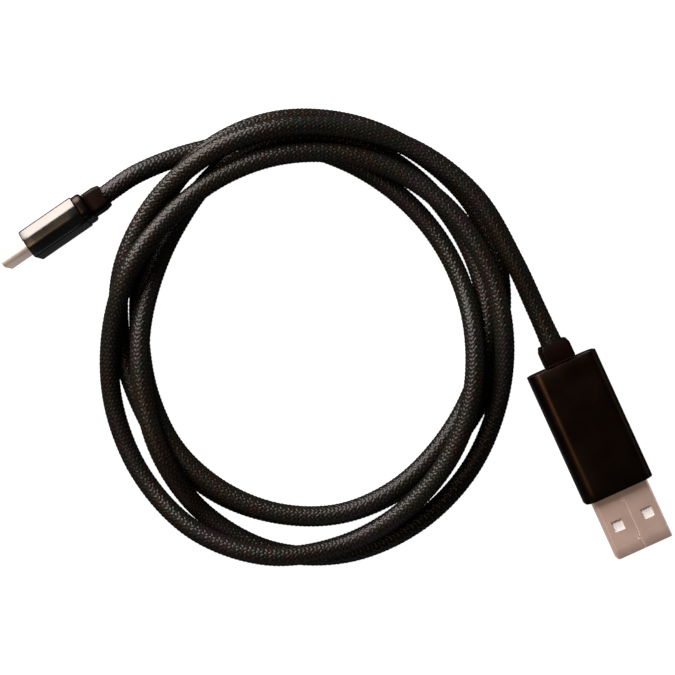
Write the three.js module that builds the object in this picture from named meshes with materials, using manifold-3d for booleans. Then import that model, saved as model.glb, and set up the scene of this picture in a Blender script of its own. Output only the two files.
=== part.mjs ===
// Charging cable: a braided cord lying in a loose coil, a full-size USB plug in a metal
// housing at one end and a small reversible plug in a narrower metal housing at the other.
// Millimetres, +Z up, the floor at z = 0.  Both plugs lie on the floor: the wide one flat,
// the small one on its narrow edge.
import * as THREE from 'three';
import Module from 'manifold-3d';

const wasm = await Module();
wasm.setup();
const { Manifold, Mesh: SolidMesh } = wasm;

// ---------- driving dimensions ----------
const FIT = 0.25;            // gap left between two parts that touch
const SMALL_FIT = 0.1;       // gap round contacts, boards and wires

// cord
const CORD_D = 4.0;          // over the braid
const BRAID_WALL = 0.45;
const JACKET_D = CORD_D - 2 * BRAID_WALL - 2 * FIT;   // screen, insulation and wires as one core
const CORD_SIDES = 8;
const COLLAR_FIT = 0.3;      // round the cord where it leaves a collar
const CORD_GRIP = 3.5;       // length of cord held inside each collar and housing

// wide plug (USB type A)
const A_LENGTH = 28.3;
const A_WIDTH = 14.8;
const A_HEIGHT = 7.6;
const A_WALL = 0.7;
const A_CORNER = 2.4;
const A_INSIDE_CORNER = 0.8;
const A_CAP = 1.0;           // plates closing both ends of the sleeve
const A_SHELL_W = 12.0;
const A_SHELL_H = 4.5;
const A_SHELL_WALL = 0.3;
const A_SHELL_OUT = 12.8;    // length of bare metal in front of the housing
const A_SHELL_IN = 6.0;      // length of the shell inside the housing
const A_WINDOW = 2.3;        // square latch windows
const A_WINDOW_BACK = 6.4;   // window centre behind the nose
const A_WINDOW_APART = 6.5;
const A_TONGUE_T = 1.9;
const A_TONGUE_BACK = 0.9;   // tongue end behind the nose
const A_CONTACT_W = 1.1;
const A_CONTACT_T = 0.25;
const A_CONTACT_PITCH = 2.3;
const A_CONTACT_L = 7.5;
const A_COLLAR_L = 4.6;
const A_COLLAR_W = 6.4;
const A_COLLAR_H = 5.6;
const A_AT = [45.66, 1.89];  // cord end of the housing on the floor
const A_TURN = -65.6;        // degrees from +X to the way the plug points

// small plug (USB type C)
const C_LENGTH = 12.6;
const C_HEIGHT = 11.0;       // wide way of the plug, standing upright
const C_THICK = 6.1;
const C_WALL = 0.6;
const C_CORNER = 2.2;
const C_CAP = 0.8;
const C_RING_L = 1.6;        // plain ring behind the sleeve
const C_RING_STEP = 0.2;     // how far the ring stands in from the sleeve
const C_SHELL_W = 8.25;
const C_SHELL_T = 2.4;
const C_SHELL_WALL = 0.2;
const C_SHELL_OUT = 6.2;
const C_SHELL_IN = 3.0;
const C_SLOT_T = 0.9;        // mouth in the insulator
const C_SLOT_W = C_SHELL_W - 1.55;
const C_SLOT_DEEP = 5.6;
const C_BOARD_T = 0.8;
const C_BOARD_SIDE = 1.05;   // how much narrower the board is than the shell
const C_COLLAR_L = 3.8;
const C_COLLAR_W = 4.9;
const C_COLLAR_H = 6.0;
const C_AT = [-47.24, 36.00];  // cord end of the collar on the floor
const C_TURN = 214.5;

// wires from the cord to the contacts
const WIRE_D = 0.8;
const WIRE_SIDES = 8;

// ---------- coil ----------
// Counter-clockwise round the middle of the loop, one row per turn, a station every 20
// degrees: [radius, height of the cord's middle].  The first turn leaves the wide plug at
// 20 degrees, the last one reaches the small plug after 120 degrees.
const LOOP_MIDDLE = [-5.74, 7.14];
const STATION_ANGLE = 20;
const BASE = 0.15;           // lifts the whole pile clear of the floor
const TURNS = [
  [[44.5, 5.2], [44.2, 6.1], [43.7, 6.1], [42.6, 8.1], [42.1, 10.8], [41.6, 10.8],
    [41.1, 8.1], [40.2, 6.4], [38.8, 2.0], [37.4, 2.0], [37.3, 2.0], [37.2, 2.0],
    [36.9, 2.0], [36.9, 2.0], [36.5, 2.0], [36.4, 2.0], [37.5, 2.0]],
  [[38.9, 2.0], [41.4, 2.0], [43.3, 2.0], [44.0, 2.0], [44.8, 2.0], [44.6, 5.0],
    [42.9, 6.9], [40.5, 2.0], [36.8, 2.0], [34.6, 3.8], [34.5, 5.0], [35.3, 5.6],
    [35.7, 5.8], [36.1, 6.1], [36.2, 6.1], [35.4, 6.0], [34.6, 5.7], [34.9, 5.2]],
  [[36.2, 5.2], [37.2, 3.2], [38.2, 2.0], [39.7, 2.0], [41.1, 4.3], [40.8, 6.9],
    [38.4, 5.1], [35.6, 2.6], [33.9, 5.3], [33.9, 8.0], [35.2, 9.1], [38.1, 9.0],
    [42.1, 2.8], [44.5, 2.0], [45.0, 2.0], [44.1, 2.0], [42.7, 2.0], [40.8, 4.5]],
  [[39.4, 7.9], [38.9, 7.1], [38.5, 6.3], [38.1, 5.9], [37.6, 6.9], [37.0, 8.8],
    [36.7, 9.3], [36.9, 9.7], [38.3, 10.2], [40.1, 6.5], [42.5, 2.8], [44.6, 2.0],
    [45.6, 5.3], [44.9, 6.7], [42.6, 5.4], [39.7, 7.3], [37.1, 9.1], [34.8, 9.8]],
  [[33.3, 8.3], [33.0, 4.2], [33.5, 2.0], [34.8, 2.0], [37.2, 2.0], [40.8, 2.0],
    [44.4, 2.0]],
];
const FIRST_STATION = 20;
const A_CORD_Z = A_HEIGHT / 2;
const C_CORD_Z = C_HEIGHT / 2;
const STRAIGHT = 8.0;        // cord held straight in front of each collar
const C_LEAD_DROP = 0.6;     // how far the cord has sunk at the end of that straight

// ---------- helpers ----------
const group = new THREE.Group();
group.name = 'charging_cable';

function addPart(name, geometry, colour, metal = 0, rough = 0.5) {
  const material = new THREE.MeshStandardMaterial({
    color: colour, metalness: metal, roughness: rough,
  });
  const mesh = new THREE.Mesh(geometry, material);
  mesh.name = name;
  group.add(mesh);
}

function roundRect(width, height, radius, middle = [0, 0]) {
  const shape = new THREE.Shape();
  const [cx, cy] = middle;
  const w = width / 2;
  const h = height / 2;
  const r = Math.min(radius, w - 0.001, h - 0.001);
  shape.moveTo(cx - w + r, cy - h);
  shape.lineTo(cx + w - r, cy - h);
  shape.absarc(cx + w - r, cy - h + r, r, -Math.PI / 2, 0, false);
  shape.lineTo(cx + w, cy + h - r);
  shape.absarc(cx + w - r, cy + h - r, r, 0, Math.PI / 2, false);
  shape.lineTo(cx - w + r, cy + h);
  shape.absarc(cx - w + r, cy + h - r, r, Math.PI / 2, Math.PI, false);
  shape.lineTo(cx - w, cy - h + r);
  shape.absarc(cx - w + r, cy - h + r, r, Math.PI, 1.5 * Math.PI, false);
  return shape;
}

function circle(radius, sides) {
  const shape = new THREE.Shape();
  for (let i = 0; i < sides; i += 1) {
    const t = (2 * Math.PI * (i + 0.5)) / sides;
    const x = radius * Math.cos(t);
    const y = radius * Math.sin(t);
    if (i === 0) shape.moveTo(x, y);
    else shape.lineTo(x, y);
  }
  shape.closePath();
  return shape;
}

// Lays an outline across the plug and pulls it along the plug from x0 to x1.
// The outline's own x becomes sideways, its y becomes up.
function along(outline, x0, x1, segments = 5) {
  const geometry = new THREE.ExtrudeGeometry(outline, {
    depth: x1 - x0, bevelEnabled: false, curveSegments: segments,
  });
  const turn = new THREE.Matrix4().makeBasis(
    new THREE.Vector3(0, 1, 0), new THREE.Vector3(0, 0, 1), new THREE.Vector3(1, 0, 0));
  geometry.applyMatrix4(turn);
  geometry.translate(x0, 0, 0);
  return geometry;
}

function toSolid(geometry) {
  const flat = geometry.index ? geometry.toNonIndexed() : geometry;
  const position = flat.attributes.position;
  const found = new Map();
  const points = [];
  const faces = [];
  for (let i = 0; i < position.count; i += 1) {
    const p = [position.getX(i), position.getY(i), position.getZ(i)];
    const key = p.map((v) => Math.round(v * 1e4)).join(',');
    if (!found.has(key)) {
      found.set(key, points.length / 3);
      points.push(...p);
    }
    faces.push(found.get(key));
  }
  const mesh = new SolidMesh({
    numProp: 3,
    vertProperties: new Float32Array(points),
    triVerts: new Uint32Array(faces),
  });
  return new Manifold(mesh);
}

function fromSolid(solid) {
  const mesh = solid.getMesh();
  const geometry = new THREE.BufferGeometry();
  const points = new THREE.Float32BufferAttribute(mesh.vertProperties, 3);
  geometry.setAttribute('position', points);
  geometry.setIndex(Array.from(mesh.triVerts));
  geometry.computeVertexNormals();
  return geometry;
}

function cut(base, ...tools) {
  let solid = toSolid(base);
  for (const tool of tools) solid = Manifold.difference(solid, toSolid(tool));
  return fromSolid(solid);
}

function join(...pieces) {
  let solid = toSolid(pieces[0]);
  for (const piece of pieces.slice(1)) solid = Manifold.union(solid, toSolid(piece));
  return fromSolid(solid);
}

function block(x0, x1, width, z0, z1, sideways = 0) {
  return along(roundRect(width, z1 - z0, 0, [sideways, (z0 + z1) / 2]), x0, x1, 1);
}

// Turns a plug to the way it points and moves it to its place on the floor.
function placer(at, degrees) {
  const turn = new THREE.Matrix4().makeRotationZ(THREE.MathUtils.degToRad(degrees));
  const move = new THREE.Matrix4().makeTranslation(at[0], at[1], 0);
  return move.multiply(turn);
}

function wire(points) {
  const curve = new THREE.CatmullRomCurve3(points.map((p) => new THREE.Vector3(...p)));
  return new THREE.ExtrudeGeometry(circle(WIRE_D / 2, WIRE_SIDES), {
    steps: 6, bevelEnabled: false, extrudePath: curve,
  });
}

// ---------- wide plug, built along +X with its cord end at x = 0 ----------
const placeA = placer(A_AT, A_TURN);
const addA = (name, geometry, ...look) => {
  addPart(name, geometry.applyMatrix4(placeA), ...look);
};
const aMid = A_HEIGHT / 2;
const aNose = A_LENGTH + A_SHELL_OUT;
const aInnerW = A_WIDTH - 2 * A_WALL;
const aInnerH = A_HEIGHT - 2 * A_WALL;

const aSleeve = roundRect(A_WIDTH, A_HEIGHT, A_CORNER, [0, aMid]);
aSleeve.holes.push(roundRect(aInnerW, aInnerH, A_INSIDE_CORNER, [0, aMid]));
addA('usb_a_sleeve', along(aSleeve, 0, A_LENGTH), '#17110f', 1, 0.3);

const aPlugW = aInnerW - 2 * FIT;
const aPlugH = aInnerH - 2 * FIT;
const aPlugR = A_INSIDE_CORNER;
const cordHole = (x0, x1, z, gap) => {
  const hole = along(circle(CORD_D / 2 + gap, 16), x0, x1);
  hole.translate(0, 0, z);
  return hole;
};
addA('usb_a_rear_plate', cut(
  along(roundRect(aPlugW, aPlugH, aPlugR, [0, aMid]), 0.2, 0.2 + A_CAP),
  cordHole(-1, 3, aMid, FIT)), '#1c1715', 0, 0.5);
addA('usb_a_front_plate', cut(
  along(roundRect(aPlugW, aPlugH, aPlugR, [0, aMid]), A_LENGTH - 0.2 - A_CAP, A_LENGTH - 0.2),
  block(A_LENGTH - 4, A_LENGTH + 1, A_SHELL_W + 2 * SMALL_FIT,
    aMid - A_SHELL_H / 2 - SMALL_FIT, aMid + A_SHELL_H / 2 + SMALL_FIT)), '#1c1715', 0, 0.5);

// moulded core with an open channel for the wires
const aCoreFrom = 0.2 + A_CAP + FIT;
const aCoreTo = A_LENGTH - A_SHELL_IN - FIT;
addA('usb_a_core', cut(
  along(roundRect(aPlugW, aPlugH, aPlugR, [0, aMid]), aCoreFrom, aCoreTo),
  block(aCoreFrom - 1, aCoreTo + 1, 9.6, aMid - 1.9, aMid + 1.9),
  cordHole(aCoreFrom - 1, aCoreFrom + CORD_GRIP, aMid, FIT)), '#26211f', 0, 0.6);

const aShell = roundRect(A_SHELL_W, A_SHELL_H, 0.5, [0, aMid]);
aShell.holes.push(roundRect(
  A_SHELL_W - 2 * A_SHELL_WALL, A_SHELL_H - 2 * A_SHELL_WALL, 0.25, [0, aMid]));
const windows = [-1, 1].map((side) => block(
  aNose - A_WINDOW_BACK - A_WINDOW / 2, aNose - A_WINDOW_BACK + A_WINDOW / 2,
  A_WINDOW, -1, A_HEIGHT + 1, side * A_WINDOW_APART / 2));
addA('usb_a_shell', cut(
  along(aShell, A_LENGTH - A_SHELL_IN, aNose, 3), ...windows), '#b7aeaa', 1, 0.35);

// white tongue against the top wall, the contacts on its lower face
const aShellTop = aMid + A_SHELL_H / 2 - A_SHELL_WALL;
const aShellFloor = aMid - A_SHELL_H / 2 + A_SHELL_WALL;
const aTongueW = A_SHELL_W - 2 * A_SHELL_WALL - 2 * SMALL_FIT;
const aTongueTop = aShellTop - SMALL_FIT;
const aTongueLow = aTongueTop - A_TONGUE_T;
const aBase = A_LENGTH - A_SHELL_IN + 4.5;
const contactAt = [-1.5, -0.5, 0.5, 1.5].map((k) => k * A_CONTACT_PITCH);
const aSlots = contactAt.map((y) => block(
  A_LENGTH - A_SHELL_IN - 1, aBase + 1, A_CONTACT_W + 2 * SMALL_FIT,
  aTongueLow - A_CONTACT_T - 2 * SMALL_FIT, aTongueLow, y));
addA('usb_a_tongue', cut(join(
  block(A_LENGTH - A_SHELL_IN, aNose - A_TONGUE_BACK, aTongueW, aTongueLow, aTongueTop),
  block(A_LENGTH - A_SHELL_IN, aBase, aTongueW, aShellFloor + SMALL_FIT, aTongueTop)),
  ...aSlots), '#f2efe9', 0, 0.45);

const wireColours = ['#a8201b', '#e8e6e0', '#1d7a3a', '#151515'];
const aContactFrom = A_LENGTH - A_SHELL_IN - 3;
const aContactTo = aNose - A_TONGUE_BACK - 1.6;
contactAt.forEach((y, i) => {
  addA(`usb_a_contact_${i + 1}`, block(
    aContactFrom, aContactTo, A_CONTACT_W,
    aTongueLow - SMALL_FIT - A_CONTACT_T, aTongueLow - SMALL_FIT, y), '#d9b45a', 1, 0.3);
});
const aWireEnd = aTongueLow - 2 * SMALL_FIT - A_CONTACT_T - WIRE_D / 2;
contactAt.forEach((y, i) => {
  const near = (i - 1.5) * (WIRE_D + SMALL_FIT);
  addA(`usb_a_wire_${i + 1}`, wire([
    [aCoreFrom + CORD_GRIP + 1.2, near, aMid],
    [aCoreFrom + CORD_GRIP + 4.5, near * 1.2, aMid],
    [aContactFrom - 3, y, aWireEnd],
    [aContactFrom + 1.6, y, aWireEnd],
  ]), wireColours[i], 0, 0.5);
});

const aCollarShape = roundRect(A_COLLAR_W, A_COLLAR_H, 1.0, [0, aMid]);
addA('usb_a_collar', cut(
  along(aCollarShape, -A_COLLAR_L, -0.15),
  cordHole(-A_COLLAR_L - 1, 1, aMid, COLLAR_FIT)), '#241a18', 0, 0.55);

// ---------- small plug, built along +X with the cord end of its collar at x = 0 ----------
const placeC = placer(C_AT, C_TURN);
const addC = (name, geometry, ...look) => {
  addPart(name, geometry.applyMatrix4(placeC), ...look);
};
const cMid = C_HEIGHT / 2;
const cRingFrom = C_COLLAR_L + 0.15;
const cSleeveFrom = C_COLLAR_L + C_RING_L + 0.3;
const cFront = cSleeveFrom + C_LENGTH;
const cNose = cFront + C_SHELL_OUT;
const cInnerW = C_THICK - 2 * C_WALL;
const cInnerH = C_HEIGHT - 2 * C_WALL;

addC('usb_c_collar', cut(
  along(roundRect(C_COLLAR_W, C_COLLAR_H, 1.0, [0, cMid]), 0, C_COLLAR_L),
  cordHole(-1, C_COLLAR_L + 1, cMid, COLLAR_FIT)), '#241a18', 0, 0.55);
addC('usb_c_ring', cut(
  along(roundRect(C_THICK - 2 * C_RING_STEP, C_HEIGHT - 2 * C_RING_STEP,
    C_CORNER - C_RING_STEP, [0, cMid]), cRingFrom, cRingFrom + C_RING_L),
  cordHole(0, cSleeveFrom + 1, cMid, 0.08)), '#1c1614', 1, 0.35);

const cSleeve = roundRect(C_THICK, C_HEIGHT, C_CORNER, [0, cMid]);
cSleeve.holes.push(roundRect(cInnerW, cInnerH, C_CORNER - C_WALL, [0, cMid]));
addC('usb_c_sleeve', along(cSleeve, cSleeveFrom, cFront), '#17110f', 1, 0.25);

const cPlugW = cInnerW - 2 * FIT;
const cPlugH = cInnerH - 2 * FIT;
const cPlugR = C_CORNER - C_WALL - FIT;
const cShellBack = cFront - C_SHELL_IN;
addC('usb_c_front_plate', cut(
  along(roundRect(cPlugW, cPlugH, cPlugR, [0, cMid]), cFront - 0.2 - C_CAP, cFront - 0.2),
  along(roundRect(C_SHELL_T + 2 * SMALL_FIT, C_SHELL_W + 2 * SMALL_FIT,
    (C_SHELL_T + 2 * SMALL_FIT) / 2, [0, cMid]), cFront - 3, cFront + 1)),
'#1c1715', 0, 0.5);

const cCoreFrom = cSleeveFrom + 0.2;
const cCoreTo = cFront - 0.2 - C_CAP - FIT;
addC('usb_c_core', cut(
  along(roundRect(cPlugW, cPlugH, cPlugR, [0, cMid]), cCoreFrom, cCoreTo),
  block(cCoreFrom - 1, cCoreTo + 1, C_SHELL_T + 2 * SMALL_FIT,
    cMid - C_SHELL_W / 2 - FIT, cMid + C_SHELL_W / 2 + FIT)),
'#26211f', 0, 0.6);

const cShell = roundRect(C_SHELL_T, C_SHELL_W, C_SHELL_T / 2, [0, cMid]);
cShell.holes.push(roundRect(C_SHELL_T - 2 * C_SHELL_WALL, C_SHELL_W - 2 * C_SHELL_WALL,
  C_SHELL_T / 2 - C_SHELL_WALL, [0, cMid]));
addC('usb_c_shell', along(cShell, cShellBack, cNose, 6), '#b0a8a4', 1, 0.3);

const cInsW = C_SHELL_T - 2 * C_SHELL_WALL - 2 * SMALL_FIT;
const cInsH = C_SHELL_W - 2 * C_SHELL_WALL - 2 * SMALL_FIT;
const cLatchZ = C_SLOT_W / 2 + 0.25;
addC('usb_c_insulator', cut(
  along(roundRect(cInsW, cInsH, cInsW / 2, [0, cMid]), cShellBack + 1.0, cNose - 0.2, 4),
  block(cNose - C_SLOT_DEEP, cNose + 1, C_SLOT_T, cMid - C_SLOT_W / 2, cMid + C_SLOT_W / 2)),
'#1a1a1c', 0, 0.5);

const cBoardFrom = cCoreFrom + 2.4;
const cBoardTo = cShellBack + 1.0 - SMALL_FIT;
const cBoardHalf = (C_SHELL_W - C_BOARD_SIDE) / 2;
addC('usb_c_board', block(
  cBoardFrom, cBoardTo, C_BOARD_T, cMid - cBoardHalf, cMid + cBoardHalf), '#1d5a36', 0, 0.5);
const cSide = C_BOARD_T / 2 + SMALL_FIT;
addC('usb_c_resistor', block(
  cBoardFrom + 3.2, cBoardFrom + 4.2, 0.35, cMid + 0.75, cMid + 1.35,
  cSide + 0.175), '#202020', 0, 0.4);

// the plug's contacts: two rows of four inside the mouth
const cRow = [-1.5, -0.5, 0.5, 1.5].map((k) => k * C_SLOT_W / 4.2);
const cContactY = C_SLOT_T / 2 - 0.12 - 0.06;
[-1, 1].forEach((side, s) => {
  cRow.forEach((z, i) => {
    addC(`usb_c_contact_${s * cRow.length + i + 1}`, block(
      cNose - C_SLOT_DEEP + 0.3, cNose - 1.2, 0.12, cMid + z - 0.15, cMid + z + 0.15,
      side * cContactY), '#d9b45a', 1, 0.3);
  });
});
[-1, 1].forEach((side, i) => {
  addC(`usb_c_latch_${i + 1}`, block(
    cNose - C_SLOT_DEEP + 0.2, cNose - 1.0, 0.5,
    cMid + side * (cLatchZ - 0.45) - 0.12, cMid + side * (cLatchZ - 0.45) + 0.12),
  '#c9c5c0', 1, 0.3);
});
cRow.forEach((z, i) => {
  const side = i % 2 === 0 ? -1 : 1;
  const y = side * (cSide + WIRE_D / 2);
  const low = (i - 1.5) * (WIRE_D + SMALL_FIT);
  addC(`usb_c_wire_${i + 1}`, wire([
    [cCoreFrom + 0.3, side * 0.55, cMid + low],
    [cCoreFrom + 1.2, side * 0.62, cMid + low],
    [cBoardFrom + 0.6, y, cMid + z],
    [cBoardFrom + 2.4, y, cMid + z],
  ]), wireColours[i], 0, 0.5);
});

// ---------- cord ----------
const inA = (x, z) => new THREE.Vector3(x, 0, z).applyMatrix4(placeA);
const inC = (x, z) => new THREE.Vector3(x, 0, z).applyMatrix4(placeC);
const route = [
  inA(CORD_GRIP, A_CORD_Z),
  inA(-A_COLLAR_L, A_CORD_Z),
  inA(-A_COLLAR_L - STRAIGHT, A_CORD_Z + BASE),
];
TURNS.flat().forEach(([radius, height], i) => {
  const angle = THREE.MathUtils.degToRad(FIRST_STATION + i * STATION_ANGLE);
  route.push(new THREE.Vector3(
    LOOP_MIDDLE[0] + radius * Math.cos(angle),
    LOOP_MIDDLE[1] + radius * Math.sin(angle),
    height + BASE));
});
route.push(
  inC(-STRAIGHT, C_CORD_Z - C_LEAD_DROP),
  inC(0, C_CORD_Z),
  inC(CORD_GRIP, C_CORD_Z));

// The tube's rings stand exactly at the stations, so neighbouring turns keep their distance.
class StationCurve extends THREE.CatmullRomCurve3 {
  getPointAt(u, target) {
    return this.getPoint(u, target);
  }

  getTangentAt(u, target) {
    return this.getTangent(u, target);
  }
}
const cordCurve = new StationCurve(route, false, 'centripetal');

function cordTube(shape) {
  return new THREE.ExtrudeGeometry(shape, {
    steps: route.length - 1, bevelEnabled: false, extrudePath: cordCurve,
  });
}
const braid = circle(CORD_D / 2, CORD_SIDES);
braid.holes.push(circle(CORD_D / 2 - BRAID_WALL, CORD_SIDES));
addPart('cord_braid', cordTube(braid), '#1a1614', 0, 0.8);
addPart('cord_core', cordTube(circle(JACKET_D / 2, CORD_SIDES)), '#2b2b2d', 0, 0.6);

export default group;
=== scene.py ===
# %% [markdown]
# # A braided charging cable
# The cable lies on a pale floor in a loose coil of a little over four turns. One end has a
# full-size USB plug in a black metal housing, lying flat. The other has a small reversible
# plug in a narrower black housing, standing on its narrow edge. Everything is in metres in
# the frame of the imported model: +Z is up and the floor is at z = 0.

# %% Load the frame
import math
import bmesh
import bpy
import numpy as np
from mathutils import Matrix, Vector


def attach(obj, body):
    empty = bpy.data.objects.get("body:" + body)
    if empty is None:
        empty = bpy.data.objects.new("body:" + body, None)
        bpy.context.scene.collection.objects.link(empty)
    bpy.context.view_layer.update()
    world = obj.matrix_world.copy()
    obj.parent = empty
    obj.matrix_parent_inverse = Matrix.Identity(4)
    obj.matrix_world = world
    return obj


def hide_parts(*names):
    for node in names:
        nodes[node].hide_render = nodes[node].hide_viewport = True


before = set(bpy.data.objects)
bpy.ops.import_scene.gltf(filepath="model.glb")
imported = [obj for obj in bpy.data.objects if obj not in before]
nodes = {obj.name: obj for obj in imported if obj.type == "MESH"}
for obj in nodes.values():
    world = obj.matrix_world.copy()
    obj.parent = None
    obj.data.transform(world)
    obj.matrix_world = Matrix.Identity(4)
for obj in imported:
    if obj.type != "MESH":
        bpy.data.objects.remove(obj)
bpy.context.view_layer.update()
MM = 0.001

# %% [markdown]
# ## Camera
# The cable is looked at from straight above, from 300 mm, which is near enough for the
# higher turns to look a little larger than the ones on the floor.

# %% Camera
CAMERA_HEIGHT = 300 * MM
CAMERA_OVER = (0.06 * MM, 7.11 * MM)     # the point of the floor that it stands over
FIELD = 139.75 * MM                      # width of floor that the frame takes in
SENSOR = 36.0

camera_data = bpy.data.cameras.new("camera")
camera_data.sensor_width = SENSOR
camera_data.lens = SENSOR * CAMERA_HEIGHT / FIELD
camera = bpy.data.objects.new("camera", camera_data)
camera.location = (*CAMERA_OVER, CAMERA_HEIGHT)
bpy.context.scene.collection.objects.link(camera)
bpy.context.scene.camera = camera
print("lens, mm:", round(camera_data.lens, 1))

# %% [markdown]
# ## Where the plugs lie
# Each plug is shaped in its own frame, with +X along the plug towards its nose, and is then
# turned about Z and moved to its place on the floor. A function gives that move for a point.

# %% Places of the plugs
A_AT = (45.66, 1.89)         # cord end of the wide plug's housing, mm
A_TURN = -65.6               # degrees
C_AT = (-47.24, 36.00)       # cord end of the small plug's collar, mm
C_TURN = 214.5
A_LENGTH, A_WIDTH, A_HEIGHT = 28.3, 14.8, 7.6
A_MID = A_HEIGHT / 2
C_HEIGHT = 11.0
C_MID = C_HEIGHT / 2


def placed(points, at, degrees):
    """Local points in mm to the row frame in metres."""
    points = np.asarray(points, float)
    turn = math.radians(degrees)
    c, s = math.cos(turn), math.sin(turn)
    x = at[0] + points[:, 0] * c - points[:, 1] * s
    y = at[1] + points[:, 0] * s + points[:, 1] * c
    return np.column_stack([x, y, points[:, 2]]) * MM


# %% [markdown]
# ## The cord's route
# A cord is one length of something flexible, so its line comes before its shape. The turns
# run counter-clockwise round the middle of the coil with a station every 20 degrees: how far
# out the cord lies there, and how high its middle is. Where one turn crosses another it
# rides over it in a long low hump. At both plugs it runs straight out of the collar.

# %% Route
CORD_D = 4.0                 # mm, over the braid
BASE = 0.15                  # lifts the whole pile clear of the floor
STRAIGHT = 8.0               # cord held straight in front of each collar
GRIP = 3.5                   # length of cord held inside each plug
A_COLLAR_L = 4.6
LEAD_DROP = 0.6              # how far the cord sinks along the small plug's straight
LOOP_MIDDLE = (-5.74, 7.14)
FIRST_STATION = 20
STATION_ANGLE = 20
TURNS = [
    [(44.5, 5.2), (44.2, 6.1), (43.7, 6.1), (42.6, 8.1), (42.1, 10.8), (41.6, 10.8),
     (41.1, 8.1), (40.2, 6.4), (38.8, 2.0), (37.4, 2.0), (37.3, 2.0), (37.2, 2.0),
     (36.9, 2.0), (36.9, 2.0), (36.5, 2.0), (36.4, 2.0), (37.5, 2.0)],
    [(38.9, 2.0), (41.4, 2.0), (43.3, 2.0), (44.0, 2.0), (44.8, 2.0), (44.6, 5.0),
     (42.9, 6.9), (40.5, 2.0), (36.8, 2.0), (34.6, 3.8), (34.5, 5.0), (35.3, 5.6),
     (35.7, 5.8), (36.1, 6.1), (36.2, 6.1), (35.4, 6.0), (34.6, 5.7), (34.9, 5.2)],
    [(36.2, 5.2), (37.2, 3.2), (38.2, 2.0), (39.7, 2.0), (41.1, 4.3), (40.8, 6.9),
     (38.4, 5.1), (35.6, 2.6), (33.9, 5.3), (33.9, 8.0), (35.2, 9.1), (38.1, 9.0),
     (42.1, 2.8), (44.5, 2.0), (45.0, 2.0), (44.1, 2.0), (42.7, 2.0), (40.8, 4.5)],
    [(39.4, 7.9), (38.9, 7.1), (38.5, 6.3), (38.1, 5.9), (37.6, 6.9), (37.0, 8.8),
     (36.7, 9.3), (36.9, 9.7), (38.3, 10.2), (40.1, 6.5), (42.5, 2.8), (44.6, 2.0),
     (45.6, 5.3), (44.9, 6.7), (42.6, 5.4), (39.7, 7.3), (37.1, 9.1), (34.8, 9.8)],
    [(33.3, 8.3), (33.0, 4.2), (33.5, 2.0), (34.8, 2.0), (37.2, 2.0), (40.8, 2.0),
     (44.4, 2.0)],
]

lead_a = placed([(GRIP, 0, A_MID), (-A_COLLAR_L, 0, A_MID),
                 (-A_COLLAR_L - STRAIGHT, 0, A_MID + BASE)], A_AT, A_TURN)
lead_c = placed([(-STRAIGHT, 0, C_MID - LEAD_DROP), (0, 0, C_MID), (GRIP, 0, C_MID)],
                C_AT, C_TURN)
stations = []
for i, (radius, height) in enumerate([s for turn in TURNS for s in turn]):
    angle = math.radians(FIRST_STATION + i * STATION_ANGLE)
    stations.append(((LOOP_MIDDLE[0] + radius * math.cos(angle)) * MM,
                     (LOOP_MIDDLE[1] + radius * math.sin(angle)) * MM,
                     (height + BASE) * MM))
route = np.vstack([lead_a, stations, lead_c])
LOWEST = (CORD_D / 2 + 0.05) * MM        # the cord's middle where it lies on the floor
print("stations:", len(route))

# %% [markdown]
# A smooth line is put through the stations. A centripetal Catmull-Rom spline passes through
# every one of them and makes no small loops where they are close together. It is then cut
# into equal steps, because the weave needs the same step everywhere.

# %% Smooth line through the stations
def smooth_line(points, per_span=40):
    ends = [2 * points[0] - points[1], *points, 2 * points[-1] - points[-2]]
    out = []
    for p0, p1, p2, p3 in zip(ends, ends[1:], ends[2:], ends[3:]):
        d0, d1, d2 = (math.sqrt(np.linalg.norm(b - a)) for a, b in
                      ((p0, p1), (p1, p2), (p2, p3)))
        m1 = ((p1 - p0) / d0 - (p2 - p0) / (d0 + d1) + (p2 - p1) / d1) * d1
        m2 = ((p2 - p1) / d1 - (p3 - p1) / (d1 + d2) + (p3 - p2) / d2) * d1
        for k in range(per_span):
            t = k / per_span
            out.append(p1 + m1 * t + (3 * (p2 - p1) - 2 * m1 - m2) * t ** 2
                       + (2 * (p1 - p2) + m1 + m2) * t ** 3)
    out.append(points[-1])
    return np.array(out)


def equal_steps(line, step):
    lengths = np.linalg.norm(np.diff(line, axis=0), axis=1)
    run = np.concatenate([[0], np.cumsum(lengths)])
    count = int(round(run[-1] / step))
    at = np.linspace(0, run[-1], count + 1)
    return np.column_stack([np.interp(at, run, line[:, k]) for k in range(3)]), run[-1]


CORD_STEP = 0.14 * MM
cord_line, cord_length = equal_steps(smooth_line(route), CORD_STEP)
cord_line[:, 2] = np.maximum(cord_line[:, 2], LOWEST)
print("cord length, mm:", round(cord_length / MM, 1), "rings:", len(cord_line))

# %% [markdown]
# ## The braid
# The cover of the cord is a braid: bundles of shiny filament wound both ways round the core,
# each passing over two of the others and under two. It could be a bump pattern on a tube, but
# then the edge of the cord would be a smooth line. Here the tube's own points are moved in
# and out, so the edge is knobbly too. Each point knows which bundle is on top, how far across
# that bundle it is, and how deep it lies, and the material uses all three.

# %% Rings that follow the line without twisting
def rings_along(line):
    tangent = np.gradient(line, axis=0)
    tangent /= np.linalg.norm(tangent, axis=1)[:, None]
    side = np.zeros_like(line)
    start = np.cross(tangent[0], (0, 0, 1.0))
    side[0] = start / np.linalg.norm(start)
    for i in range(1, len(line)):
        v = side[i - 1] - tangent[i] * np.dot(side[i - 1], tangent[i])
        side[i] = v / np.linalg.norm(v)
    return side, np.cross(tangent, side)


cord_side, cord_up = rings_along(cord_line)

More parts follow.
